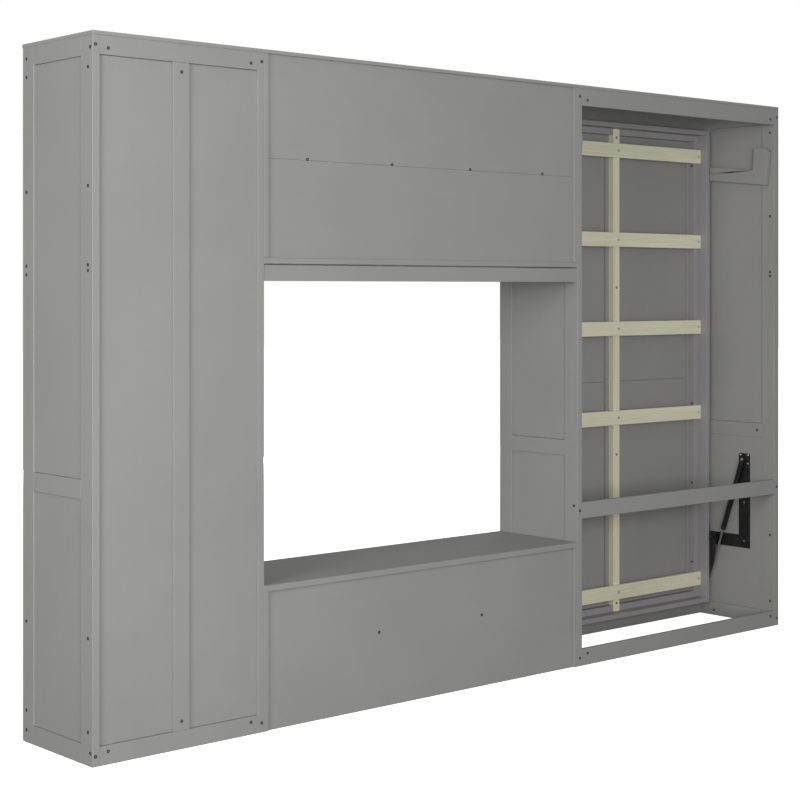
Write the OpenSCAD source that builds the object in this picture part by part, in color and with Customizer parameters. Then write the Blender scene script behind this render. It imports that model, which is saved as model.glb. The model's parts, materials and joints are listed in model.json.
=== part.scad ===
// Wall bed: wardrobe tower, TV section and a fold-down single bed in one freestanding wall unit.
// X runs along the wall, the room is towards -Y, the wall is towards +Y and +Z is up.
// The origin is on the floor, at the middle of the unit's outline.

/* [Overall size] */
// Length of the unit along the wall
unit_w = 3300; // [3280:10:3400]
// Height of the unit
unit_h = 2160; // [2155:5:2200]
// Depth of the unit, front edge to rear edge
unit_d = 410; // [408:1:412]

/* [Sections] */
// Width of the wardrobe tower
wardrobe_w = 626; // [600:2:660]
// Width of the bed bay, over both of its side panels
bed_bay_w = 1226; // [1220:2:1240]
// Top of the ledge under the TV
ledge_z = 462; // [450:2:480]
// Underside of the upper cabinet
upper_z = 1482; // [1450:2:1520]

/* [Boards] */
// Thickness of the framed side panels
panel_t = 25; // [24:0.5:26]
// Thickness of the plain boards
board_t = 18; // [16:1:19]
// Thickness of the top boards
top_t = 12; // [10:1:16]
// How far the top boards stand out in front
top_overhang = 4; // [0:1:6]
// Thickness of the thin infill panels
infill_t = 6; // [5:0.5:7]
// Width of the upright frame members
stile_w = 66; // [60:1:72]
// Width of the level frame members
rail_w = 58; // [54:1:62]

/* [Bed] */
// Gap between the bed frame and the bay's side panel, where the struts and legs are
bed_gap = 27; // [27:0.5:28]
// Thickness of the bed's rails
bed_rail_t = 20; // [18:1:20]
// Number of slats
slat_count = 6; // [5:1:6]
// Width of a slat
slat_w = 58; // [50:1:64]
// Distance from slat to slat
slat_pitch = 365; // [355:1:366]
// Width of a leg's arm
leg_w = 58; // [54:1:62]
// Angle by which a folded leg hangs below level
leg_droop = 6.2; // [4:0.2:8]

/* [Doors and drawers] */
// Gap round each door and drawer front
reveal = 3; // [3:0.5:4]
// How far the handles stand out in front
handle_reach = 28; // [24:1:34]
// Radius of the handle bars
handle_r = 6; // [5:0.5:7]
// Number of doors in the upper cabinet, and of drawers in the lower one
bay_count = 3; // [3:1:3]

/* [Hidden] */
$fn = 48;

// Colours
paint = "#96938f";
inside_paint = "#8b8885";
pale_wood = "#cdbf98";
steel = "#2b2b2d";
bright = "#c9c9cc";

// Hairline between boards that meet in one piece of joinery
hair = 0.2;

// Planes of the unit
screw_proud = 1;
head_r = 5;
y_rear = (unit_d + handle_reach - screw_proud) / 2;
y_front = y_rear - unit_d;
x_outer = unit_w / 2;
wardrobe_x = x_outer - wardrobe_w;
bay_x = -x_outer + bed_bay_w;
bed_x = -x_outer + bed_bay_w / 2;
side_h = unit_h - top_t;
plinth_h = 60;
floor_z = plinth_h + board_t;

// Framed panels: the middle rail and how far the infill lies below the frame
mid_rail_z = 780;
infill_inset = 5;

// Back panels lie a little inside the rear edges
back_recess = 8;
tower_recess = 9;
back_rail_w = 57;
seam_z = 1817;
rear_rail_z = 1427;
rear_rail_top = 1478;
ledge_t = 20;

// Wardrobe shelves (undersides) and rail
shelf_zs = [366, 800, 1692];
shelf_setback = 24;
hang_z = 1630;
hang_r = 12.5;

// Bed folded up: depths are measured from the rear edge of the unit
bed_low = 60;
bed_high = 2079;
facade_high = 2086;
header_gap = 2.5;
rail_rear = 322;
facade_rear = 393;
slat_rear = 353;
slat_t = 13;
ledger_w = 26;
beam_w = 38;
beam_shift = -15;
top_slat_z = 1969;
foot_slat_z = 160;
half_bay = bed_bay_w / 2 - panel_t;
half_bed = half_bay - bed_gap;

// Facade: two shaker leaves side by side, with a facing strip over the middle stiles
leaf_stile = 63;
middle_stile = 21;
middle_facing = 43;
leaf_rail = 100;
facing_t = 3.8;
facade_seam_z = 1020;

// Bed pivot and strut ends, as [depth from the rear edge, height]
pivot = [305, 340];
strut_top = [156, 682];
strut_foot = [342, 126];
pin_r = 6;
stud_r = 4;
fit = 0.05;
plate_t = 3;
bed_plate_t = 4;
strut_x = half_bay - plate_t - 11.5;
tube_r = 11;
tube_len = 320;
rod_r = 5;
rod_len = 345;

// Swing legs: the sole reaches the floor when the bed is down
leg_pivot = [335, 1897];
leg_t = 18;
leg_bolt_r = 5;
leg_len = pivot[0] + pivot[1] - leg_pivot[0] - 0.5;
toe_len = 152;
toe_w = 75;

// Doors and drawers
door_t = 18;
door_stile = 60;
door_panel_t = 8;
door_inset = 5;
knuckle_r = 4.5;
hinge_pin_r = 2;
hinge_h = 70;
leaf_t = 1.2;
hinge_y = y_front - knuckle_r - 0.3;
wardrobe_hinge_zs = [200, 780, 1440, 2020];
upper_hinge_zs = [upper_z + 108, side_h - 90];
opening_x = [bay_x + board_t, wardrobe_x - board_t];
upper_floor_z = upper_z + board_t;
bay_w = (opening_x[1] - opening_x[0] - (bay_count - 1) * board_t) / bay_count;
box_t = 12;
box_z = [98, 348];
box_d = 350;
runner_t = 6;
runner_h = 40;
runner_z = 200;
runner_play = 0.5;

function depth(d) = y_rear - d;
function bay_start(i) = opening_x[0] + (i - 1) * (bay_w + board_t);
slat_screw_x = [-(half_bed - bed_rail_t - ledger_w / 2), beam_shift, half_bed - bed_rail_t - ledger_w / 2];
function slat_z(i) = i == slat_count - 1 ? foot_slat_z : top_slat_z - i * slat_pitch;

// ---- Shared shapes ----

// A board between its lowest and its highest corner
module board(low, high) {
    translate(low)
        cube(high - low);
}

// A plate that faces along X, cut to an outline of [y, z] points
module plate_x(x, t, outline) {
    translate([x, 0, 0])
        rotate([90, 0, 90])
            linear_extrude(t)
                polygon(outline);
}

// A round bar along X
module bar_x(x, y, z, r, length) {
    translate([x, y, z])
        rotate([0, 90, 0])
            cylinder(r = r, h = length);
}

// The same thing at both ends of the bed: children are drawn for the outer (-X) end about x = 0
module both_ends() {
    outer_end() children();
    inner_end() children();
}

module outer_end() {
    translate([bed_x, 0, 0])
        children();
}

module inner_end() {
    translate([bed_x, 0, 0])
        mirror([1, 0, 0])
            children();
}

// A framed side panel of the unit: two stiles, three rails and two infill panels;
// low_x is where the lower infill starts and ends, across the panel
module framed_side(x, low_x = [infill_inset, panel_t - infill_inset]) {
    infill_x = [low_x, [infill_inset, panel_t - infill_inset]];
    rails = [[0, rail_w], [mid_rail_z, mid_rail_z + rail_w], [side_h - rail_w, side_h]];
    y_in = [y_front + stile_w + hair, y_rear - stile_w - hair];
    board([x, y_front, 0], [x + panel_t, y_front + stile_w, side_h]);
    board([x, y_rear - stile_w, 0], [x + panel_t, y_rear, side_h]);
    for (r = rails)
        board([x, y_in[0], r[0]], [x + panel_t, y_in[1], r[1]]);
    for (i = [0, 1])
        board([x + infill_x[i][0], y_in[0], rails[i][1] + hair],
              [x + infill_x[i][1], y_in[1], rails[i + 1][0] - hair]);
}

// A shaker door or drawer front with its outer face at y_front
module shaker(x, z, stile, rails_at) {
    y = [y_front, y_front + door_t];
    board([x[0], y[0], z[0]], [x[0] + stile, y[1], z[1]]);
    board([x[1] - stile, y[0], z[0]], [x[1], y[1], z[1]]);
    for (r = rails_at)
        board([x[0] + stile + hair, y[0], r], [x[1] - stile - hair, y[1], r + stile]);
    for (i = [0 : len(rails_at) - 2])
        board([x[0] + stile + hair, y[0] + door_inset, rails_at[i] + stile + hair],
              [x[1] - stile - hair, y[0] + door_inset + door_panel_t, rails_at[i + 1] - hair]);
}

// A bar handle on two posts, standing on the plane y_front
module bar_handle(x, z, length, upright) {
    bar_y = y_front - handle_reach + handle_r;
    turn = upright ? [0, 0, 0] : [0, 90, 0];
    translate([x, bar_y, z]) {
        rotate(turn)
            cylinder(r = handle_r, h = length, center = true);
        for (s = [-1, 1])
            rotate(turn)
                translate([0, 0, s * (length / 2 - 24)])
                    rotate([-90, 0, 0])
                        cylinder(r = handle_r * 0.75, h = y_front - bar_y);
    }
}

// Fixed half of a butt hinge: leaf, two knuckles and the pin; s points from the door to the cabinet
module hinge_base(x, s, z) {
    face = x + s * reveal / 2;
    xs = s > 0 ? [face - leaf_t, face] : [face, face + leaf_t];
    knuckle_h = (hinge_h - 24) / 2;
    board([xs[0], y_front + hair, z - hinge_h / 2], [xs[1], y_front + door_t - 2, z + hinge_h / 2]);
    for (low = [z - hinge_h / 2, z + hinge_h / 2 - knuckle_h]) {
        board([xs[0], hinge_y, low], [xs[1], y_front + 1, low + knuckle_h]);
        translate([x, hinge_y, low])
            cylinder(r = knuckle_r, h = knuckle_h);
    }
    translate([x, hinge_y, z - hinge_h / 2 - 1])
        cylinder(r = hinge_pin_r, h = hinge_h + 2);
}

// Moving half of a butt hinge: leaf and the bored middle knuckle
module hinge_leaf(x, s, z) {
    edge = x - s * reveal / 2;
    xs = s > 0 ? [edge, edge + leaf_t] : [edge - leaf_t, edge];
    middle = 11.7;
    difference() {
        union() {
            board([xs[0], y_front + hair, z - hinge_h / 2], [xs[1], y_front + door_t - 2, z + hinge_h / 2]);
            board([xs[0], hinge_y, z - middle], [xs[1], y_front + 1, z + middle]);
            translate([x, hinge_y, z - middle])
                cylinder(r = knuckle_r, h = 2 * middle);
        }
        translate([x, hinge_y, z - hinge_h])
            cylinder(r = hinge_pin_r + fit, h = 2 * hinge_h);
    }
}

// A cap screw with a socket in its head, which stands proud of the face; dir is the way it faces
module cap_screw(at, dir, length, proud = screw_proud) {
    socket_end = 1;
    turn = dir == "rear" ? [90, 0, 0] : dir == "right" ? [0, -90, 0] : [0, 90, 0];
    translate(at)
        rotate(turn) {
            difference() {
                translate([0, 0, -proud])
                    cylinder(r = head_r, h = 3 + proud);
                translate([0, 0, -2 * screw_proud])
                    cylinder(r = 2.3, h = 2 * screw_proud + socket_end, $fn = 6);
            }
            translate([0, 0, socket_end])
                cylinder(r = 2, h = length - socket_end);
        }
}

// ---- Wardrobe tower ----

module wardrobe_outer_side() {
    color(paint)
        framed_side(x_outer - panel_t);
}

module wardrobe_inner_side() {
    color(paint)
        framed_side(wardrobe_x);
}

module wardrobe_top() {
    color(paint)
        board([wardrobe_x, y_front - top_overhang, side_h], [x_outer, y_rear, unit_h]);
}

module wardrobe_back() {
    x = [wardrobe_x + panel_t, x_outer - panel_t];
    mid = (x[0] + x[1]) / 2;
    rails = [[0, back_rail_w], [side_h - back_rail_w, side_h]];
    color(paint) {
        for (r = rails)
            board([x[0], y_rear - board_t, r[0]], [x[1], y_rear, r[1]]);
        board([mid - rail_w / 2, y_rear - board_t, rails[0][1] + hair],
              [mid + rail_w / 2, y_rear, rails[1][0] - hair]);
        for (span = [[x[0], mid - rail_w / 2 - hair], [mid + rail_w / 2 + hair, x[1]]])
            board([span[0], y_rear - tower_recess - infill_t, rails[0][1] + hair],
                  [span[1], y_rear - tower_recess, rails[1][0] - hair]);
    }
}

module wardrobe_shelves() {
    x = [wardrobe_x + panel_t, x_outer - panel_t];
    color(inside_paint) {
        board([x[0], y_front, plinth_h], [x[1], y_rear - board_t, floor_z]);
        for (z = shelf_zs)
            board([x[0], y_front + shelf_setback, z], [x[1], y_rear - board_t, z + board_t]);
    }
}

module hanging_rail() {
    x = [wardrobe_x + panel_t + 2, x_outer - panel_t - 2];
    color(bright)
        bar_x(x[0], depth(unit_d / 2), hang_z, hang_r, x[1] - x[0]);
}

module hanging_rail_sockets() {
    color(bright)
        for (end = [[wardrobe_x + panel_t, 1], [x_outer - panel_t, -1]])
            translate([end[0], depth(unit_d / 2), hang_z])
                rotate([0, 90 * end[1], 0])
                    difference() {
                        cylinder(r = hang_r + 6, h = 14);
                        translate([0, 0, 1.8])
                            cylinder(r = hang_r + fit, h = 20);
                    }
}

// ---- TV section: upper cabinet ----

module upper_cabinet_top() {
    color(paint)
        board([bay_x, y_front - top_overhang, side_h], [wardrobe_x, y_rear, unit_h]);
}

module upper_cabinet_ends() {
    color(paint) {
        for (x = [bay_x, wardrobe_x - board_t])
            board([x, y_front, upper_floor_z], [x + board_t, y_rear, side_h]);
        for (i = [2 : bay_count])
            board([bay_start(i) - board_t, y_front, upper_floor_z],
                  [bay_start(i), y_rear - back_recess - infill_t, side_h]);
    }
}

module upper_cabinet_floor() {
    color(paint)
        board([bay_x, y_front, upper_z], [wardrobe_x, y_rear, upper_floor_z]);
}

module upper_cabinet_back() {
    y = [y_rear - back_recess - infill_t, y_rear - back_recess];
    color(paint)
        for (z = [[upper_floor_z, seam_z - hair], [seam_z + hair, side_h]])
            board([opening_x[0], y[0], z[0]], [opening_x[1], y[1], z[1]]);
}

module upper_cabinet_shelves() {
    color(inside_paint)
        for (i = [1 : bay_count])
            board([bay_start(i), y_front + shelf_setback, seam_z - board_t / 2],
                  [bay_start(i) + bay_w, y_rear - back_recess - infill_t, seam_z + board_t / 2]);
}

module upper_cabinet_rear_rail() {
    color(paint)
        board([bay_x, y_rear - board_t - 3, rear_rail_z], [wardrobe_x, y_rear - 3, rear_rail_top]);
}

// ---- TV section: lower cabinet ----

module lower_cabinet_top() {
    color(paint)
        board([bay_x, y_front, ledge_z - ledge_t], [wardrobe_x, y_rear, ledge_z]);
}

module lower_cabinet_ends() {
    color(paint) {
        for (x = [bay_x, wardrobe_x - board_t])
            board([x, y_front, 0], [x + board_t, y_rear, ledge_z - ledge_t]);
        for (i = [2 : bay_count])
            board([bay_start(i) - board_t, y_front, floor_z],
                  [bay_start(i), y_rear - back_recess - infill_t, ledge_z - ledge_t]);
    }
}

module lower_cabinet_floor() {
    color(inside_paint)
        board([opening_x[0], y_front, plinth_h], [opening_x[1], y_rear - back_recess - infill_t, floor_z]);
}

module lower_cabinet_back() {
    color(paint)
        board([opening_x[0], y_rear - back_recess - infill_t, 0],
              [opening_x[1], y_rear - back_recess, ledge_z - ledge_t]);
}

// ---- Bed bay ----

module bed_bay_inner_side() {
    color(paint)
        framed_side(bay_x - panel_t, [0, panel_t - infill_inset]);
}

module bed_bay_outer_side() {
    color(paint)
        framed_side(-x_outer, [infill_inset, panel_t]);
}

module bed_bay_top() {
    color(paint)
        board([-x_outer, y_front - top_overhang, side_h], [bay_x, y_rear, unit_h]);
}

module bed_bay_rear_rails() {
    color(paint)
        for (z = [[0, 62], [548, 608], [side_h - 64, side_h]])
            board([bed_x - half_bay, y_rear - board_t, z[0]], [bed_x + half_bay, y_rear, z[1]]);
}

module bed_bay_header() {
    color(paint)
        board([bed_x - half_bay, y_front, facade_high + header_gap],
              [bed_x + half_bay, y_front + board_t, side_h]);
}

module plinth_boards() {
    bed_plinth_h = 50;
    color(paint) {
        board([wardrobe_x + panel_t, y_front, 0], [x_outer - panel_t, y_front + board_t, plinth_h]);
        board([opening_x[0], y_front, 0], [opening_x[1], y_front + board_t, plinth_h]);
        board([bed_x - half_bay, y_front, 0], [bed_x + half_bay, y_front + board_t, bed_plinth_h]);
    }
}

// L-shaped steel plates on the bay's sides, each with the bed's pivot pin and the strut's top stud
module bay_pivot_plates() {
    outline = [
        [depth(127), 307], [depth(328), 307], [depth(334), 313], [depth(334), 361],
        [depth(184), 361], [depth(184), 701], [depth(178), 707], [depth(133), 707],
        [depth(127), 701]
    ];
    bed_plate_x = half_bed + bed_plate_t;
    color(steel)
        both_ends() {
            plate_x(-half_bay, plate_t, outline);
            bar_x(-half_bay, depth(pivot[0]), pivot[1], 14, half_bay - bed_plate_x - 0.3);
            bar_x(-half_bay, depth(pivot[0]), pivot[1], pin_r, bed_gap + 0.3);
            bar_x(-half_bed + 0.3, depth(pivot[0]), pivot[1], 10, 6);
            bar_x(-half_bay, depth(strut_top[0]), strut_top[1], 8, half_bay - strut_x - 4.2);
            bar_x(-half_bay, depth(strut_top[0]), strut_top[1], stud_r, half_bay - strut_x + 6);
        }
}

module door_hinge_bases() {
    color(bright) {
        for (z = wardrobe_hinge_zs) {
            hinge_base(wardrobe_x + panel_t + reveal / 2, -1, z);
            hinge_base(x_outer - panel_t - reveal / 2, 1, z);
        }
        for (z = upper_hinge_zs) {
            hinge_base(bay_start(1) + reveal / 2, -1, z);
            hinge_base(bay_start(2) + reveal / 2, -1, z);
            hinge_base(bay_start(3) + bay_w - reveal / 2, 1, z);
        }
    }
}

module drawer_runners() {
    y = [y_front + door_t + 2, y_front + door_t + 2 + box_d - 4];
    color(bright)
        for (i = [1 : bay_count])
            for (x = [bay_start(i), bay_start(i) + bay_w - runner_t])
                board([x, y[0], runner_z], [x + runner_t, y[1], runner_z + runner_h]);
}

// Screws that show on the sides, on the rear edges, on the back and inside the bed bay
module cabinet_screws() {
    rear_zs = [100, 375, 1456, 1472, 1705, 2054];
    front_zs = [39, 100, 375, 1445, 1472, 1700, 2055, 2112];
    corner_zs = [40, side_h - 37];
    rear_column = 24.5;
    sides = [[x_outer, "right"], [-x_outer, "left"]];
    bay_side = bed_x - half_bay;
    plate_screws = [[137, 700], [175, 700], [137, 664], [175, 664], [156, 500], [156, 336]];
    plate_proud = 0.3;
    color(steel) {
        for (s = sides) {
            for (z = rear_zs)
                cap_screw([s[0], depth(rear_column), z], s[1], 20);
            for (z = corner_zs)
                cap_screw([s[0], depth(rear_column / 2), z], s[1], 20);
            for (z = front_zs)
                cap_screw([s[0], depth(unit_d - 24), z], s[1], 20);
        }
        for (z = rear_zs)
            cap_screw([bay_side, depth(rear_column), z], "right", 20);
        for (at = [[91, 809], [318, 22], [unit_d - 30, 1445], [unit_d - 30, 2055]])
            cap_screw([bay_side, depth(at[0]), at[1]], "right", 20);
        for (at = plate_screws) {
            cap_screw([bay_side + plate_t, depth(at[0]), at[1]], "right", 18, plate_proud);
            cap_screw([bed_x + half_bay - plate_t, depth(at[0]), at[1]], "left", 18, plate_proud);
        }
        cap_screw([bay_x, depth(18), 596], "right", 20);
        for (z = [31, 2119])
            for (x = [x_outer - 10, wardrobe_x + 10])
                cap_screw([x, y_rear, z], "rear", 40);
        for (z = [40, 2111])
            for (x = [x_outer - 53, wardrobe_x + 52])
                cap_screw([x, y_rear, z], "rear", 14);
        for (z = [86, 2062])
            cap_screw([x_outer - wardrobe_w / 2, y_rear, z], "rear", 14);
        for (s = [-1, 1]) {
            for (z = [31, 578, 2117])
                cap_screw([bed_x + s * (half_bay + 12), y_rear, z], "rear", 40);
            for (z = [44, 2106])
                cap_screw([bed_x + s * (half_bay - 30), y_rear, z], "rear", 14);
        }
        for (k = [0 : 3])
            cap_screw([x_outer - 806 - k * 363, y_rear - back_recess, seam_z + 3.5], "rear", 20);
        for (i = [2, 3])
            cap_screw([bay_start(i) - board_t / 2, y_rear - back_recess, 252], "rear", 20);
    }
}

// ---- Bed ----

module bed_side_rails() {
    color(inside_paint)
        both_ends()
            board([-half_bed, depth(facade_rear), bed_low],
                  [-half_bed + bed_rail_t, depth(rail_rear), bed_high]);
}

module bed_end_rails() {
    half = half_bed - bed_rail_t;
    color(inside_paint)
        translate([bed_x, 0, 0])
            for (z = [bed_low, bed_high - bed_rail_t])
                board([-half, depth(facade_rear), z], [half, depth(rail_rear), z + bed_rail_t]);
}

module bed_slat_ledgers() {
    x = -half_bed + bed_rail_t;
    inner_x = x + ledger_w + hair;
    z = [bed_low + bed_rail_t, bed_high - bed_rail_t];
    beam_edge = [for (s = [-1, 1]) beam_shift + s * (beam_w / 2 + hair)];
    color(inside_paint) {
        both_ends()
            board([x, depth(facade_rear), z[0]], [x + ledger_w, depth(slat_rear + slat_t), z[1]]);
        translate([bed_x, 0, 0])
            for (low = [z[0], z[1] - ledger_w])
                for (span = [[inner_x, beam_edge[0]], [beam_edge[1], -inner_x]])
                    board([span[0], depth(facade_rear), low],
                          [span[1], depth(slat_rear + slat_t), low + ledger_w]);
    }
}

module bed_centre_beam() {
    x = bed_x + beam_shift - beam_w / 2;
    color(pale_wood)
        board([x, depth(facade_rear), bed_low + bed_rail_t],
              [x + beam_w, depth(slat_rear + slat_t), bed_high - bed_rail_t]);
}

module bed_slats() {
    half = half_bed - bed_rail_t - 0.5;
    sunk = 3.4;
    color(pale_wood)
        for (i = [0 : slat_count - 1])
            difference() {
                board([bed_x - half, depth(slat_rear + slat_t), slat_z(i) - slat_w / 2],
                      [bed_x + half, depth(slat_rear), slat_z(i) + slat_w / 2]);
                for (x = slat_screw_x)
                    translate([bed_x + x, depth(slat_rear) + 1, slat_z(i)])
                        rotate([90, 0, 0])
                            cylinder(r = head_r + fit, h = sunk + 1);
            }
}

module bed_facade_frame() {
    y = [y_front, depth(facade_rear)];
    x = [-half_bed + leaf_stile + hair, -middle_stile - hair];
    rail_z = [bed_low + leaf_rail, facade_high - leaf_rail];
    color(paint)
        both_ends() {
            board([-half_bed, y[0], bed_low], [-half_bed + leaf_stile, y[1], facade_high]);
            board([-middle_stile, y[0] + facing_t + hair, bed_low], [-hair, y[1], facade_high]);
            board([-middle_facing, y[0], rail_z[0] + hair], [-hair, y[0] + facing_t, rail_z[1] - hair]);
            for (z = [bed_low, rail_z[1]])
                board([x[0], y[0], z], [x[1], y[1], z + leaf_rail]);
            board([x[0], y[0], facade_seam_z - leaf_rail / 2],
                  [-middle_facing - hair, y[0] + facing_t, facade_seam_z + leaf_rail / 2]);
        }
}

module bed_facade_panels() {
    y = [y_front + facing_t + hair, y_front + facing_t + hair + infill_t];
    x = [-half_bed + leaf_stile + hair, -middle_stile - hair];
    zs = [[bed_low + leaf_rail + hair, facade_seam_z - hair],
          [facade_seam_z + hair, facade_high - leaf_rail - hair]];
    color(paint)
        both_ends()
            for (z = zs)
                board([x[0], y[0], z[0]], [x[1], y[1], z[1]]);
}

module bed_handles() {
    color(steel)
        both_ends()
            bar_handle(-middle_facing / 2, 1180, 220, true);
}

// Steel plates on the outside of the bed's rails, with the pivot bore and the strut's lower stud
module bed_pivot_plates() {
    x = -half_bed - bed_plate_t;
    outline = [
        [depth(328), 100], [depth(386), 100], [depth(386), 420], [depth(328), 420],
        [depth(320), 360], [depth(314), 358], [depth(289), 353], [depth(287), 330],
        [depth(298), 262], [depth(311), 205], [depth(328), 160]
    ];
    stud_len = 3;
    color(steel)
        both_ends()
            difference() {
                union() {
                    plate_x(x, bed_plate_t, outline);
                    bar_x(x, depth(pivot[0]), pivot[1], 18, bed_plate_t);
                    bar_x(x - stud_len, depth(strut_foot[0]), strut_foot[1], 6, stud_len + bed_plate_t);
                }
                bar_x(x - 1, depth(pivot[0]), pivot[1], pin_r + fit, bed_plate_t + 2);
            }
}

// Bolt, spacer and head that carry each swing leg
module bed_leg_bolts() {
    leg_x = -half_bed - (bed_gap - leg_t) / 2 - leg_t;
    y = depth(leg_pivot[0]);
    color(steel)
        both_ends() {
            bar_x(leg_x - 1, y, leg_pivot[1], leg_bolt_r, 40);
            bar_x(leg_x - 3, y, leg_pivot[1], 9, 2.8);
            bar_x(leg_x + leg_t + 0.2, y, leg_pivot[1], 11, (bed_gap - leg_t) / 2 - 0.2);
        }
}

// Screws in the rails, the beam and the slats
module bed_screws() {
    ledger_x = half_bed - bed_rail_t - ledger_w;
    sunk = -0.4;
    color(steel) {
        for (z = [113, 723, 1408, 2023])
            cap_screw([bed_x + beam_shift, depth(slat_rear + slat_t), z], "rear", 24);
        for (i = [0 : slat_count - 1])
            for (x = slat_screw_x)
                cap_screw([bed_x + x, depth(slat_rear), slat_z(i)], "rear", 24, sunk);
        for (k = [0 : 5]) {
            cap_screw([bed_x - ledger_x, depth(380), 230 + k * 340], "right", 28);
            cap_screw([bed_x + ledger_x, depth(380), 230 + k * 340], "left", 28);
        }
    }
}

// ---- Swing legs ----

module swing_leg() {
    u = leg_len;
    v = leg_w / 2;
    outline = [[0, -v], [u, -v], [u, toe_len - v - 14], [u - 16, toe_len - v],
               [u - toe_w, toe_len - v], [u - toe_w, v], [0, v]];
    x = -half_bed - (bed_gap - leg_t) / 2 - leg_t;
    color(paint)
        translate([x, depth(leg_pivot[0]), leg_pivot[1]])
            rotate([-leg_droop, 0, 0])
                difference() {
                    union() {
                        plate_x(0, leg_t, outline);
                        bar_x(0, 0, 0, v, leg_t);
                    }
                    bar_x(-1, 0, 0, leg_bolt_r + fit, leg_t + 2);
                }
}

module leg_inner() {
    inner_end()
        swing_leg();
}

module leg_outer() {
    outer_end()
        swing_leg();
}

// ---- Gas struts ----

// Moves to the strut's top stud, with -Z pointing along the strut
module along_strut() {
    lean = atan2(strut_foot[0] - strut_top[0], strut_top[1] - strut_foot[1]);
    translate([-strut_x, depth(strut_top[0]), strut_top[1]])
        rotate([-lean, 0, 0])
            children();
}

module strut_tube() {
    eye_t = 8;
    color(steel)
        along_strut()
            difference() {
                union() {
                    bar_x(-eye_t / 2, 0, 0, 9, eye_t);
                    translate([0, 0, -26])
                        cylinder(r = 4, h = 20);
                    translate([0, 0, -tube_len])
                        cylinder(r = tube_r, h = tube_len - 16);
                }
                bar_x(-eye_t, 0, 0, stud_r + fit, 2 * eye_t);
                translate([0, 0, -tube_len - 1])
                    cylinder(r = rod_r + 2, h = tube_len - 30);
            }
    color(steel)
        along_strut()
            translate([0, 0, -tube_len])
                difference() {
                    cylinder(r = rod_r + 1.9, h = 12);
                    translate([0, 0, -1])
                        cylinder(r = rod_r + fit, h = 14);
                }
}

module strut_rod() {
    eye_t = 9;
    length = norm(strut_top - strut_foot);
    color(bright)
        along_strut()
            translate([0, 0, -length]) {
                translate([0, 0, 5])
                    cylinder(r = rod_r, h = rod_len - 5);
                difference() {
                    bar_x(-4, 0, 0, 9, eye_t);
                    bar_x(-eye_t, 0, 0, stud_r + 0.5, 2 * eye_t);
                }
            }
}

module strut_tube_inner() {
    inner_end()
        strut_tube();
}

module strut_tube_outer() {
    outer_end()
        strut_tube();
}

module strut_rod_inner() {
    inner_end()
        strut_rod();
}

module strut_rod_outer() {
    outer_end()
        strut_rod();
}

// ---- Wardrobe doors ----

wardrobe_door_z = [floor_z + reveal, side_h - reveal];
wardrobe_mid = (wardrobe_x + x_outer) / 2;

module wardrobe_door(x) {
    color(paint)
        shaker(x, wardrobe_door_z, door_stile,
               [wardrobe_door_z[0], mid_rail_z, wardrobe_door_z[1] - door_stile]);
}

module wardrobe_door_inner() {
    wardrobe_door([wardrobe_x + panel_t + reveal, wardrobe_mid - reveal / 2]);
}

module wardrobe_door_outer() {
    wardrobe_door([wardrobe_mid + reveal / 2, x_outer - panel_t - reveal]);
}

module wardrobe_door_inner_fittings() {
    color(steel)
        bar_handle(wardrobe_mid - 32, 1180, 220, true);
    color(bright)
        for (z = wardrobe_hinge_zs)
            hinge_leaf(wardrobe_x + panel_t + reveal / 2, -1, z);
}

module wardrobe_door_outer_fittings() {
    color(steel)
        bar_handle(wardrobe_mid + 32, 1180, 220, true);
    color(bright)
        for (z = wardrobe_hinge_zs)
            hinge_leaf(x_outer - panel_t - reveal / 2, 1, z);
}

// ---- Upper cabinet doors: 1 and 2 are hung on their -X edge, 3 on its +X edge ----

upper_door_z = [upper_floor_z + reveal, side_h - reveal];

module upper_door(i) {
    x = [bay_start(i) + reveal, bay_start(i) + bay_w - reveal];
    color(paint)
        shaker(x, upper_door_z, door_stile, [upper_door_z[0], upper_door_z[1] - door_stile]);
}

module upper_door_fittings(i, s) {
    hinge_x = bay_start(i) + (s > 0 ? bay_w - reveal / 2 : reveal / 2);
    handle_x = bay_start(i) + (s > 0 ? reveal + 30 : bay_w - reveal - 30);
    color(steel)
        bar_handle(handle_x, upper_z + 150, 160, true);
    color(bright)
        for (z = upper_hinge_zs)
            hinge_leaf(hinge_x, s, z);
}

// ---- Drawers ----

drawer_front_z = [floor_z + reveal, ledge_z - ledge_t - reveal];

module drawer_box(i) {
    x = [bay_start(i) + 2 * runner_t + runner_play, bay_start(i) + bay_w - 2 * runner_t - runner_play];
    y = [y_front + door_t, y_front + door_t + box_d];
    inner_x = [x[0] + box_t + hair, x[1] - box_t - hair];
    color(pale_wood) {
        for (px = [x[0], x[1] - box_t])
            board([px, y[0], box_z[0]], [px + box_t, y[1], box_z[1]]);
        for (py = [y[0], y[1] - box_t])
            board([inner_x[0], py, box_z[0]], [inner_x[1], py + box_t, box_z[1]]);
        board([inner_x[0], y[0] + box_t + hair, box_z[0] + 10],
              [inner_x[1], y[1] - box_t - hair, box_z[0] + 10 + infill_t]);
    }
    color(bright)
        for (px = [x[0] - runner_t - hair / 2, x[1] + hair / 2])
            board([px, y[0] + 2, runner_z + 4], [px + runner_t, y[1] - 2, runner_z + runner_h - 4]);
}

module drawer_front(i) {
    x = [bay_start(i) + reveal, bay_start(i) + bay_w - reveal];
    color(paint)
        shaker(x, drawer_front_z, door_stile, [drawer_front_z[0], drawer_front_z[1] - door_stile]);
    color(steel)
        bar_handle(bay_start(i) + bay_w / 2, drawer_front_z[1] - door_stile / 2, 160, false);
}

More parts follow.
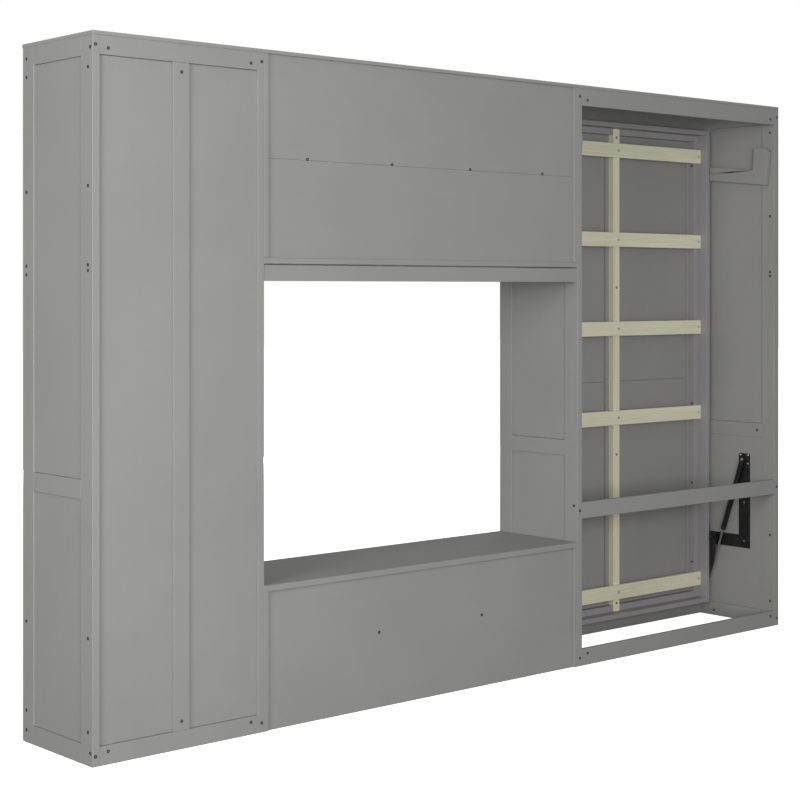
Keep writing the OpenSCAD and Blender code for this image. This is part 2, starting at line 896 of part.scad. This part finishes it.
wardrobe_outer_side();
wardrobe_inner_side();
wardrobe_top();
wardrobe_back();
wardrobe_shelves();
hanging_rail();
hanging_rail_sockets();
upper_cabinet_top();
upper_cabinet_ends();
upper_cabinet_floor();
upper_cabinet_back();
upper_cabinet_shelves();
upper_cabinet_rear_rail();
lower_cabinet_top();
lower_cabinet_ends();
lower_cabinet_floor();
lower_cabinet_back();
bed_bay_inner_side();
bed_bay_outer_side();
bed_bay_top();
bed_bay_rear_rails();
bed_bay_header();
plinth_boards();
bay_pivot_plates();
door_hinge_bases();
drawer_runners();
cabinet_screws();
bed_side_rails();
bed_end_rails();
bed_slat_ledgers();
bed_centre_beam();
bed_slats();
bed_facade_frame();
bed_facade_panels();
bed_handles();
bed_pivot_plates();
bed_leg_bolts();
bed_screws();
leg_inner();
leg_outer();
strut_tube_inner();
strut_tube_outer();
strut_rod_inner();
strut_rod_outer();
wardrobe_door_inner();
wardrobe_door_inner_fittings();
wardrobe_door_outer();
wardrobe_door_outer_fittings();
upper_door(1);  // upper_door_1
upper_door_fittings(1, -1);  // upper_door_1_fittings
upper_door(2);  // upper_door_2
upper_door_fittings(2, -1);  // upper_door_2_fittings
upper_door(3);  // upper_door_3
upper_door_fittings(3, 1);  // upper_door_3_fittings
drawer_box(1);  // drawer_1_box
drawer_front(1);  // drawer_1_front
drawer_box(2);  // drawer_2_box
drawer_front(2);  // drawer_2_front
drawer_box(3);  // drawer_3_box
drawer_front(3);  // drawer_3_front
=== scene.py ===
"""Looks, lights and camera for the wall bed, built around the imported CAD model.

Metres, +Z up, the room towards -Y and the wall towards +Y.
"""
import json
import math

import bmesh
import bpy
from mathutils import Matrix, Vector


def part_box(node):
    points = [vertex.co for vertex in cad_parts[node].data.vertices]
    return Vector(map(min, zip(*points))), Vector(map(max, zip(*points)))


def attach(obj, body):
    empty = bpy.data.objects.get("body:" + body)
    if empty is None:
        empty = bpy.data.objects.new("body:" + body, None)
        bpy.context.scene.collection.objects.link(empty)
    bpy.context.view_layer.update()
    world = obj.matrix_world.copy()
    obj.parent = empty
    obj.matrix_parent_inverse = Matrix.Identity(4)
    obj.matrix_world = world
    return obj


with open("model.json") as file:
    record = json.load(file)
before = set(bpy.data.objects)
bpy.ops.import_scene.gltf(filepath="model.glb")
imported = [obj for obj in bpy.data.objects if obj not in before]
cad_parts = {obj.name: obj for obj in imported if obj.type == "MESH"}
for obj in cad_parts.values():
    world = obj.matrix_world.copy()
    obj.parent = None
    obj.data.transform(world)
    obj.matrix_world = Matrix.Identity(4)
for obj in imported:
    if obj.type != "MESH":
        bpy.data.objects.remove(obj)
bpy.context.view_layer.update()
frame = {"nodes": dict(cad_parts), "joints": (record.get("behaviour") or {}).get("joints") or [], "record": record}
NODES = frame["nodes"]
MM = 0.001


# ---------------------------------------------------------------- node helpers

def new_material(name):
    """A node material with its Principled shader; returns the material, its tree and the shader."""
    material = bpy.data.materials.new(name)
    material.use_nodes = True
    tree = material.node_tree
    shader = tree.nodes["Principled BSDF"]
    return material, tree, shader


def add(tree, kind, **values):
    """A node with its sockets or properties set by name."""
    node = tree.nodes.new(kind)
    for key, value in values.items():
        if key in node.inputs:
            node.inputs[key].default_value = value
        else:
            setattr(node, key, value)
    return node


def object_coords(tree, scale):
    """Coordinates in the object's own frame, in metres, times a scale per axis."""
    coords = add(tree, "ShaderNodeTexCoord")
    mapping = add(tree, "ShaderNodeMapping", Scale=scale)
    tree.links.new(coords.outputs["Object"], mapping.inputs["Vector"])
    return mapping.outputs["Vector"]


def noise(tree, vector, scale, detail, roughness=0.5, distortion=0.0):
    """The value of a noise texture over the given coordinates."""
    node = add(tree, "ShaderNodeTexNoise", Scale=scale, Detail=detail, Roughness=roughness,
               Distortion=distortion)
    tree.links.new(vector, node.inputs["Vector"])
    return node.outputs["Fac"]


def spread(tree, value, source, target):
    """Maps value from the source range to the target range, clamped."""
    node = add(tree, "ShaderNodeMapRange")
    for key, number in zip(("From Min", "From Max", "To Min", "To Max"), (*source, *target)):
        node.inputs[key].default_value = number
    tree.links.new(value, node.inputs["Value"])
    return node.outputs["Result"]


def ramp(tree, value, stops):
    """A colour ramp from (place, rgb) stops."""
    node = add(tree, "ShaderNodeValToRGB")
    elements = node.color_ramp.elements
    while len(elements) < len(stops):
        elements.new(0.5)
    for element, (place, rgb) in zip(elements, stops):
        element.position = place
        element.color = (*rgb, 1.0)
    tree.links.new(value, node.inputs["Fac"])
    return node.outputs["Color"]


def toned(rgb, share):
    """A colour times a share, kept within the range of a paint."""
    return tuple(min(1.0, c * share) for c in rgb)


def stretched(across, along, axis):
    """A noise scale per axis, lower along the given axis so that the pattern is drawn out there."""
    scale = [across] * 3
    scale[axis] = along
    return scale


def mix(tree, kind, factor, a, b):
    """Mixes two colours; factor, a and b are sockets or plain values."""
    node = tree.nodes.new("ShaderNodeMix")
    node.data_type = "RGBA"
    node.blend_type = kind
    for socket, value in ((node.inputs[0], factor), (node.inputs[6], a), (node.inputs[7], b)):
        if isinstance(value, bpy.types.NodeSocket):
            tree.links.new(value, socket)
        else:
            socket.default_value = value if isinstance(value, (int, float)) else (*value, 1.0)
    return node.outputs[2]


def bump(tree, shader, height, strength, distance, under=None):
    """Adds a bump to the shader's normal and returns it, so that another can be laid over it."""
    node = add(tree, "ShaderNodeBump", Strength=strength, Distance=distance)
    tree.links.new(height, node.inputs["Height"])
    if under is not None:
        tree.links.new(under, node.inputs["Normal"])
    tree.links.new(node.outputs["Normal"], shader.inputs["Normal"])
    return node.outputs["Normal"]


# ---------------------------------------------------------------- materials

# Object coordinates left as they are
UNIT = (1, 1, 1)
# Tones laid over the paint, the wood and the black coat
GRAIN_SHADE = (0.78, 0.78, 0.78)
WOOD_PALE = (0.85, 0.84, 0.655)
WOOD_DEEP = (0.735, 0.70, 0.515)
WOOD_FIBRE = (0.72, 0.62, 0.46)
WOOD_SHADE = (0.88, 0.84, 0.76)
WOOD_KNOT = (0.33, 0.24, 0.13)
COAT_DARK = (0.010, 0.010, 0.011)
COAT_LIGHT = (0.026, 0.026, 0.029)
WORN_COAT = (0.16, 0.155, 0.15)


def painted_board(name, rgb, grain_axis):
    """Satin paint over board: faint grain along one axis, roller texture and light scuffs."""
    material, tree, shader = new_material(name)
    grain = noise(tree, object_coords(tree, stretched(60.0, 2.0, grain_axis)), scale=1.0, detail=4.0,
                  roughness=0.55, distortion=0.3)
    patches = noise(tree, object_coords(tree, UNIT), scale=2.6, detail=3.0, roughness=0.55)
    stipple = noise(tree, object_coords(tree, UNIT), scale=850.0, detail=2.0, roughness=0.6)
    scuffs = noise(tree, object_coords(tree, (9, 9, 9)), scale=1.0, detail=6.0, roughness=0.75)
    base = ramp(tree, patches, [(0.3, toned(rgb, 0.965)), (0.7, toned(rgb, 1.03))])
    tint = spread(tree, grain, (0.3, 0.7), (0.0, 0.07))
    base = mix(tree, "MULTIPLY", tint, base, GRAIN_SHADE)
    rub = spread(tree, scuffs, (0.68, 0.82), (0.0, 0.18))
    base = mix(tree, "MIX", rub, base, toned(rgb, 1.2))
    tree.links.new(base, shader.inputs["Base Color"])
    rough = spread(tree, scuffs, (0.3, 0.75), (0.46, 0.60))
    tree.links.new(rough, shader.inputs["Roughness"])
    shader.inputs["Specular IOR Level"].default_value = 0.40
    normal = bump(tree, shader, grain, strength=0.10, distance=0.3 * MM)
    bump(tree, shader, stipple, strength=0.14, distance=0.2 * MM, under=normal)
    return material


def bare_wood(name, grain_axis):
    """Planed softwood with its grain along one axis, pores, soft knots and a dry sheen."""
    material, tree, shader = new_material(name)
    rings = noise(tree, object_coords(tree, stretched(26.0, 0.9, grain_axis)), scale=1.0, detail=4.0,
                  roughness=0.55, distortion=1.1)
    fibres = noise(tree, object_coords(tree, stretched(420.0, 6.0, grain_axis)), scale=1.0, detail=3.0,
                   roughness=0.6)
    broad = noise(tree, object_coords(tree, (2.2, 2.2, 2.2)), scale=1.0, detail=2.0)
    cells = add(tree, "ShaderNodeTexVoronoi", Scale=1.0)
    tree.links.new(object_coords(tree, stretched(11.0, 2.6, grain_axis)), cells.inputs["Vector"])
    knots = spread(tree, cells.outputs["Distance"], (0.03, 0.15), (1.0, 0.0))
    base = ramp(tree, rings, [(0.30, WOOD_DEEP), (0.46, WOOD_PALE), (0.58, toned(WOOD_PALE, 0.93)),
                              (0.75, toned(WOOD_PALE, 1.06))])
    base = mix(tree, "MULTIPLY", spread(tree, fibres, (0.42, 0.7), (0.0, 0.28)), base, WOOD_FIBRE)
    base = mix(tree, "MULTIPLY", spread(tree, broad, (0.35, 0.7), (0.0, 0.35)), base, WOOD_SHADE)
    base = mix(tree, "MIX", spread(tree, knots, (0.0, 1.0), (0.0, 0.55)), base, WOOD_KNOT)
    tree.links.new(base, shader.inputs["Base Color"])
    tree.links.new(spread(tree, fibres, (0.3, 0.7), (0.50, 0.68)), shader.inputs["Roughness"])
    shader.inputs["Specular IOR Level"].default_value = 0.35
    normal = bump(tree, shader, rings, strength=0.22, distance=0.6 * MM)
    bump(tree, shader, fibres, strength=0.30, distance=0.3 * MM, under=normal)
    return material


def black_steel(name, roughness=(0.30, 0.46)):
    """Black powder coat or enamel: fine pimples, dull patches and a little bare metal."""
    material, tree, shader = new_material(name)
    fine = noise(tree, object_coords(tree, UNIT), scale=1400.0, detail=2.0, roughness=0.6)
    patches = noise(tree, object_coords(tree, UNIT), scale=38.0, detail=4.0, roughness=0.7)
    base = ramp(tree, patches, [(0.35, COAT_DARK), (0.7, COAT_LIGHT)])
    base = mix(tree, "MIX", spread(tree, patches, (0.70, 0.80), (0.0, 0.5)), base, WORN_COAT)
    tree.links.new(base, shader.inputs["Base Color"])
    tree.links.new(spread(tree, patches, (0.3, 0.7), roughness), shader.inputs["Roughness"])
    shader.inputs["Metallic"].default_value = 0.25
    bump(tree, shader, fine, strength=0.25, distance=0.2 * MM)
    return material


def bright_steel(name, rgb=(0.72, 0.72, 0.73), roughness=(0.12, 0.24), grain_axis=2):
    """Plated steel with fine drawn scratches and slightly dull patches."""
    material, tree, shader = new_material(name)
    scratches = noise(tree, object_coords(tree, stretched(900.0, 14.0, grain_axis)), scale=1.0, detail=2.0)
    patches = noise(tree, object_coords(tree, UNIT), scale=45.0, detail=3.0, roughness=0.6)
    base = ramp(tree, patches, [(0.3, toned(rgb, 0.90)), (0.7, rgb)])
    tree.links.new(base, shader.inputs["Base Color"])
    tree.links.new(spread(tree, patches, (0.3, 0.7), roughness), shader.inputs["Roughness"])
    shader.inputs["Metallic"].default_value = 1.0
    bump(tree, shader, scratches, strength=0.12, distance=0.1 * MM)
    return material


GREY = (0.305, 0.303, 0.300)
INNER_GREY = (0.325, 0.315, 0.325)

PAINT = {axis: painted_board(f"grey_paint_{'xyz'[axis]}", GREY, axis) for axis in range(3)}
INNER = {axis: painted_board(f"inner_paint_{'xyz'[axis]}", INNER_GREY, axis) for axis in range(3)}
WOOD = {axis: bare_wood(f"bare_wood_{'xyz'[axis]}", axis) for axis in range(3)}
BLACK = black_steel("black_steel")
ENAMEL = black_steel("black_enamel", roughness=(0.14, 0.26))
BRIGHT = bright_steel("bright_steel")
ZINC = bright_steel("zinc_steel", rgb=(0.52, 0.51, 0.50), roughness=(0.28, 0.42), grain_axis=1)
MATERIAL_OF_SLOT = {"grey_paint": PAINT, "inner_paint": INNER, "bare_wood": WOOD}
SLOT_OF = {part["node"]: part["material_slot"] for part in frame["record"]["subparts"]}


# ---------------------------------------------------------------- CAD nodes

EDGE_WIDTH = 1.5 * MM
WELD_DISTANCE = 0.01 * MM
BEVEL_ANGLE = math.radians(40)
# How far past the pivot plates' box a screw still counts as one of theirs
PLATE_MARGIN = 20 * MM


def box_of(faces, mesh):
    """Low and high corners of a set of faces."""
    points = [mesh.vertices[index].co for face in faces for index in mesh.polygons[face].vertices]
    low = Vector([min(point[k] for point in points) for k in range(3)])
    high = Vector([max(point[k] for point in points) for k in range(3)])
    return low, high


def solids_of(mesh):
    """Groups a mesh's faces by solid: faces that share a corner place belong together."""
    place = {}
    group = {}

    def find(key):
        while group[key] != key:
            group[key] = group[group[key]]
            key = group[key]
        return key

    for vertex in mesh.vertices:
        key = tuple(round(c, 6) for c in vertex.co)
        place[vertex.index] = key
        group.setdefault(key, key)
    for polygon in mesh.polygons:
        first = find(place[polygon.vertices[0]])
        for index in polygon.vertices[1:]:
            other = find(place[index])
            if other != first:
                group[other] = first
    solids = {}
    for polygon in mesh.polygons:
        solids.setdefault(find(place[polygon.vertices[0]]), []).append(polygon.index)
    return list(solids.values())


def dress_boards(obj, by_axis):
    """Gives each board of a node the finish whose grain runs along the board."""
    mesh = obj.data
    mesh.materials.clear()
    for axis in range(3):
        mesh.materials.append(by_axis[axis])
    for faces in solids_of(mesh):
        low, high = box_of(faces, mesh)
        axis = max(range(3), key=lambda k: high[k] - low[k])
        for face in faces:
            mesh.polygons[face].material_index = axis


def dress_plain(obj, material):
    """Gives a whole node one finish."""
    obj.data.materials.clear()
    obj.data.materials.append(material)


def ease_edges(obj):
    """Joins the split corners of an imported node and rounds its sharp edges a little."""
    weld = obj.modifiers.new("weld", "WELD")
    weld.merge_threshold = WELD_DISTANCE
    bevel = obj.modifiers.new("eased_edges", "BEVEL")
    bevel.width = EDGE_WIDTH
    bevel.segments = 2
    bevel.limit_method = "ANGLE"
    bevel.angle_limit = BEVEL_ANGLE
    bevel.harden_normals = True


def dress_screws(obj, boxes):
    """Black screws, but plated ones inside the given boxes (lists of low and high corners)."""
    mesh = obj.data
    mesh.materials.clear()
    mesh.materials.append(BLACK)
    mesh.materials.append(ZINC)
    for faces in solids_of(mesh):
        low, high = box_of(faces, mesh)
        centre = (low + high) / 2
        plated = any(all(box[0][k] <= centre[k] <= box[1][k] for k in range(3)) for box in boxes)
        for face in faces:
            mesh.polygons[face].material_index = int(plated)


def dress_cad():
    """Gives every CAD node its finish, and its edges a small rounding where it is a board."""
    plates_low, plates_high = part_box("bay_pivot_plates")
    plates = ([c - PLATE_MARGIN for c in plates_low], [c + PLATE_MARGIN for c in plates_high])
    slats = [box_of(faces, NODES["bed_slats"].data) for faces in solids_of(NODES["bed_slats"].data)]
    for name, obj in NODES.items():
        slot = SLOT_OF[name]
        if slot in MATERIAL_OF_SLOT:
            dress_boards(obj, MATERIAL_OF_SLOT[slot])
            ease_edges(obj)
        elif name == "cabinet_screws":
            dress_screws(obj, [plates])
        elif name == "bed_screws":
            dress_screws(obj, slats)
        elif slot == "bright_steel":
            dress_plain(obj, BRIGHT if name.startswith("strut") else ZINC)
        else:
            dress_plain(obj, ENAMEL if name.startswith("strut") else BLACK)


# ---------------------------------------------------------------- small fittings

CREASE_ANGLE = math.radians(35)
# Turned profiles: (distance along the axis, radius), both in millimetres
PAN_HEAD = [(0, 4.8), (0.7, 5.0), (1.3, 4.4), (1.8, 2.8), (1.9, 1.6), (1.1, 1.4)]
SHELF_PIN = [(0, 2.4), (4, 2.5), (4.1, 4.5), (5.1, 4.5), (5.2, 2.8), (12.5, 2.8), (13.2, 2.2)]
# Turned profiles on the strut's tube: (distance along it in millimetres, share of its radius)
GLAND = [(-14, 1.005), (-12.5, 1.05), (-3.5, 1.05), (0, 0.98), (2.2, 0.72), (2.2, 0.5)]
SHOULDER = [(-6.5, 0.45), (-4.5, 0.62), (0, 0.9), (4, 1.03), (10, 1.03), (11.5, 1.003)]
# From the strut's top pivot down to the shoulder, and inward to the face of its eye
SHOULDER_DROP = 16.5 * MM
EYE_HALF_WIDTH = 4.2 * MM
WASHER_THICK = 1.5 * MM
# How far in past the bed frame's outer face the pivot pin ends
PIN_SETBACK = 6.3 * MM
# The pivot plate's thickness, its screws' places about the strut's top pivot along Y and Z,
# and how far their heads stand off the plate
PLATE_THICK = 3 * MM
HEAD_SPREAD = (19 * MM, 18 * MM)
HEAD_LIFT = 0.3 * MM
# Shelf pins: how far in from the shelf's front and rear edges, how far past its end they start,
# and how far below it their middle is
PIN_INSET = 50 * MM
PIN_OUT = 4 * MM
PIN_DROP = 3.2 * MM
# Boards lower than this are floors, with no pins under them
LOWEST_SHELF_Z = 0.1


def piece_from(name, work, material, body):
    """Makes an object of a bmesh, with smooth sides and crisp corners, riding on a body."""
    bmesh.ops.recalc_face_normals(work, faces=work.faces)
    mesh = bpy.data.meshes.new(name)
    work.to_mesh(mesh)
    work.free()
    mesh.shade_smooth()
    mesh.set_sharp_from_angle(angle=CREASE_ANGLE)
    piece = bpy.data.objects.new(name, mesh)
    bpy.context.scene.collection.objects.link(piece)
    mesh.materials.append(material)
    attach(piece, body)


def scaled(profile, radius=MM):
    """A profile in metres; radius is what one unit of the profile's radii stands for."""
    return [(along * MM, share * radius) for along, share in profile]


def turn(work, profile, start, direction, sides=32):
    """Adds a turned part: profile is (distance along the axis, radius) pairs, closed by its ends."""
    frame_of = Vector(direction).to_track_quat("Z", "Y").to_matrix().to_4x4()
    frame_of.translation = start
    rings = []
    for along, radius in profile:
        ring = []
        for k in range(sides):
            angle = 2 * math.pi * k / sides
            place = Vector((radius * math.cos(angle), radius * math.sin(angle), along))
            ring.append(work.verts.new(frame_of @ place))
        rings.append(ring)
    for first, second in zip(rings, rings[1:]):
        for k in range(sides):
            n = (k + 1) % sides
            work.faces.new((first[k], first[n], second[n], second[k]))
    work.faces.new(rings[0])
    work.faces.new(rings[-1])


def hex_nut(work, start, direction, across, height):
    """Adds a hexagon nut with chamfered corners and a domed end."""
    r = across / math.sqrt(3)
    turn(work, [(0, r * 0.94), (height * 0.12, r), (height * 0.88, r), (height, r * 0.92)],
         start, direction, sides=6)
    turn(work, [(height, r * 0.62), (height * 1.35, r * 0.58), (height * 1.6, r * 0.40),
                (height * 1.7, r * 0.12)], start, direction, sides=24)


def washer(work, start, direction, radius):
    """Adds a flat washer with softened rims."""
    turn(work, [(0, radius * 0.96), (WASHER_THICK * 0.3, radius), (WASHER_THICK * 0.7, radius),
                (WASHER_THICK, radius * 0.96)], start, direction)


JOINTS = {joint["name"]: joint for joint in frame["joints"]}
BAY_LOW, BAY_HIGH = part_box("bay_pivot_plates")
BED_X = (BAY_LOW[0] + BAY_HIGH[0]) / 2
# Each end of the bed: the name, and the way along X from the bed's middle to that end
ENDS = (("outer", -1), ("inner", 1))


def strut_line(end):
    """The strut's top pivot, the way down along it, and where its tube ends."""
    low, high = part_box(f"strut_tube_{end}")
    pivot = JOINTS[f"strut_tube_{end}_swing"]["pos_m"]
    top = Vector(((low[0] + high[0]) / 2, pivot[1], pivot[2]))
    down = -Vector(JOINTS[f"strut_rod_{end}_slide"]["axis"]).normalized()
    radius = (high[0] - low[0]) / 2
    length = (top.z - low[2] - radius * abs(down.y)) / -down.z
    return top, down, length, radius


def make_strut_fittings(end, side):
    """Gland and end cap on the tube, a collar on its neck, and the nut that holds its eye."""
    top, down, length, radius = strut_line(end)
    work = bmesh.new()
    turn(work, scaled(GLAND, radius), top + down * length, down)
    turn(work, scaled(SHOULDER, radius), top + down * SHOULDER_DROP, down)
    piece_from(f"strut_collars_{end}", work, BLACK, f"strut_tube_{end}")

    work = bmesh.new()
    inward = Vector((-side, 0, 0))
    eye_face = top + inward * EYE_HALF_WIDTH
    washer(work, eye_face, inward, radius=7.5 * MM)
    hex_nut(work, eye_face + inward * WASHER_THICK, inward, across=10 * MM, height=3 * MM)
    piece_from(f"strut_stud_nut_{end}", work, ZINC, "cabinet")


def make_pivot_fittings(end, side):
    """Washer and domed nut on the bed's pivot pin."""
    _, pivot_y, pivot_z = JOINTS["bed_pivot"]["pos_m"]
    half_bed = (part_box("bed_side_rails")[1][0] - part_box("bed_side_rails")[0][0]) / 2
    inward = Vector((-side, 0, 0))
    pin_end = Vector((BED_X + side * (half_bed - PIN_SETBACK), pivot_y, pivot_z))
    work = bmesh.new()
    washer(work, pin_end, inward, radius=9.5 * MM)
    hex_nut(work, pin_end + inward * WASHER_THICK, inward, across=13 * MM, height=5.5 * MM)
    piece_from(f"pivot_nut_{end}", work, BLACK, "cabinet")


def make_plate_screw_heads(end, side):
    """Pan heads of the four screws round the strut's top stud."""
    top = strut_line(end)[0]
    face_x = BED_X + side * ((BAY_HIGH[0] - BAY_LOW[0]) / 2 - PLATE_THICK)
    inward = Vector((-side, 0, 0))
    work = bmesh.new()
    spread_y, spread_z = HEAD_SPREAD
    for dy in (-spread_y, spread_y):
        for dz in (-spread_z, spread_z):
            start = Vector((face_x, top.y + dy, top.z + dz)) + inward * HEAD_LIFT
            turn(work, scaled(PAN_HEAD), start, inward, sides=24)
    piece_from(f"strut_bracket_heads_{end}", work, ZINC, "cabinet")


def make_shelf_pins():
    """Small plated pins with a flange, two under each end of every loose shelf."""
    for node, name in (("wardrobe_shelves", "wardrobe_shelf_pins"),
                       ("upper_cabinet_shelves", "upper_shelf_pins")):
        mesh = NODES[node].data
        work = bmesh.new()
        for faces in solids_of(mesh):
            low, high = box_of(faces, mesh)
            if low.z < LOWEST_SHELF_Z:
                continue
            for x, way in ((low.x, 1), (high.x, -1)):
                for y in (low.y + PIN_INSET, high.y - PIN_INSET):
                    start = Vector((x - way * PIN_OUT, y, low.z - PIN_DROP))
                    turn(work, scaled(SHELF_PIN), start, Vector((way, 0, 0)), sides=20)
        piece_from(name, work, ZINC, "cabinet")


dress_cad()
for end_name, end_side in ENDS:
    make_strut_fittings(end_name, end_side)
    make_pivot_fittings(end_name, end_side)
    make_plate_screw_heads(end_name, end_side)
make_shelf_pins()


# ---------------------------------------------------------------- stage, lights, camera

WHITE = (1.0, 1.0, 1.0, 1.0)
# Brightness of the sky and tone of the floor, as the unit is lit by them; the eye sees both white
SKY = 0.36
FLOOR_GREY = (0.34, 0.34, 0.34, 1.0)
FLOOR_PAINT = (0.86, 0.86, 0.86, 1.0)
FLOOR_GLOW = 1.0
FLOOR_HALF = 30.0
# Each light: place, target, size, power
KEY = ((5.6, 2.2, 2.0), (0.4, 0.0, 1.1), (1.8, 1.8), 128)
REAR_FILL = ((3.0, 5.5, 1.5), (-1.0, 0.0, 1.0), (3.0, 2.0), 185)
FRONT_FILL = ((-2.5, -7.5, 0.4), (-1.0, 0.0, 0.9), (8.0, 0.7), 370)
CAMERA_PLACE = (4.3466, 4.6495, 1.4002)
CAMERA_HEADING = math.radians(138.69)
SENSOR_MM = 36.0
LENS_MM = 78.59
# How far the frame is shifted down, as a share of its width
FRAME_DROP = 0.1383
FAR_CLIP = 200.0


def camera_only(tree, kind_of_output, seen, unseen):
    """Mixes two shaders: the first is what the eye sees, the second is what lights the object."""
    path = add(tree, "ShaderNodeLightPath")
    blend = add(tree, "ShaderNodeMixShader")
    tree.links.new(path.outputs["Is Camera Ray"], blend.inputs[0])
    tree.links.new(unseen, blend.inputs[1])
    tree.links.new(seen, blend.inputs[2])
    tree.links.new(blend.outputs[0], tree.nodes[kind_of_output].inputs["Surface"])


def make_floor():
    """A wide pale floor under the unit, with a studio sweep's brightness."""
    mesh = bpy.data.meshes.new("floor")
    corners = [(x * FLOOR_HALF, y * FLOOR_HALF, 0) for x, y in ((-1, -1), (1, -1), (1, 1), (-1, 1))]
    mesh.from_pydata(corners, [], [(0, 1, 2, 3)])
    floor = bpy.data.objects.new("floor", mesh)
    bpy.context.scene.collection.objects.link(floor)
    material, tree, shader = new_material("floor_paint")
    shader.inputs["Base Color"].default_value = FLOOR_PAINT
    shader.inputs["Roughness"].default_value = 0.85
    shader.inputs["Emission Color"].default_value = WHITE
    shader.inputs["Emission Strength"].default_value = FLOOR_GLOW
    dull = add(tree, "ShaderNodeBsdfDiffuse", Color=FLOOR_GREY)
    camera_only(tree, "Material Output", shader.outputs[0], dull.outputs[0])
    mesh.materials.append(material)


def area_light(name, place, target, size, power):
    """A rectangular light at a place, turned to its target; size is its width and height."""
    data = bpy.data.lights.new(name, "AREA")
    data.shape = "RECTANGLE"
    data.size, data.size_y = size
    data.energy = power
    light = bpy.data.objects.new(name, data)
    light.location = place
    light.rotation_euler = (Vector(target) - Vector(place)).to_track_quat("-Z", "Y").to_euler()
    bpy.context.scene.collection.objects.link(light)
    return light


def make_lights():
    """A white sky, a key light off the wardrobe's rear corner, and a fill from each side of the wall."""
    world = bpy.data.worlds.new("studio")
    bpy.context.scene.world = world
    world.use_nodes = True
    tree = world.node_tree
    seen = tree.nodes["Background"]
    seen.inputs["Color"].default_value = WHITE
    unseen = add(tree, "ShaderNodeBackground", Color=WHITE, Strength=SKY)
    camera_only(tree, "World Output", seen.outputs[0], unseen.outputs[0])
    area_light("key", *KEY)
    area_light("rear_fill", *REAR_FILL)
    # The front fill is kept out of reflections, which would draw white lines along low edges
    area_light("front_fill", *FRONT_FILL).visible_glossy = False


def make_camera():
    """Eye-level camera off the wardrobe's rear corner, kept level, with the frame shifted down."""
    camera_data = bpy.data.cameras.new("camera")
    camera = bpy.data.objects.new("camera", camera_data)
    camera_data.sensor_width = SENSOR_MM
    camera_data.lens = LENS_MM
    camera_data.shift_y = -FRAME_DROP
    camera_data.clip_end = FAR_CLIP
    camera.location = CAMERA_PLACE
    camera.rotation_euler = (math.radians(90), 0, CAMERA_HEADING)
    bpy.context.scene.collection.objects.link(camera)
    bpy.context.scene.camera = camera


make_camera()
make_floor()
make_lights()
bpy.context.scene.view_settings.view_transform = "Standard"
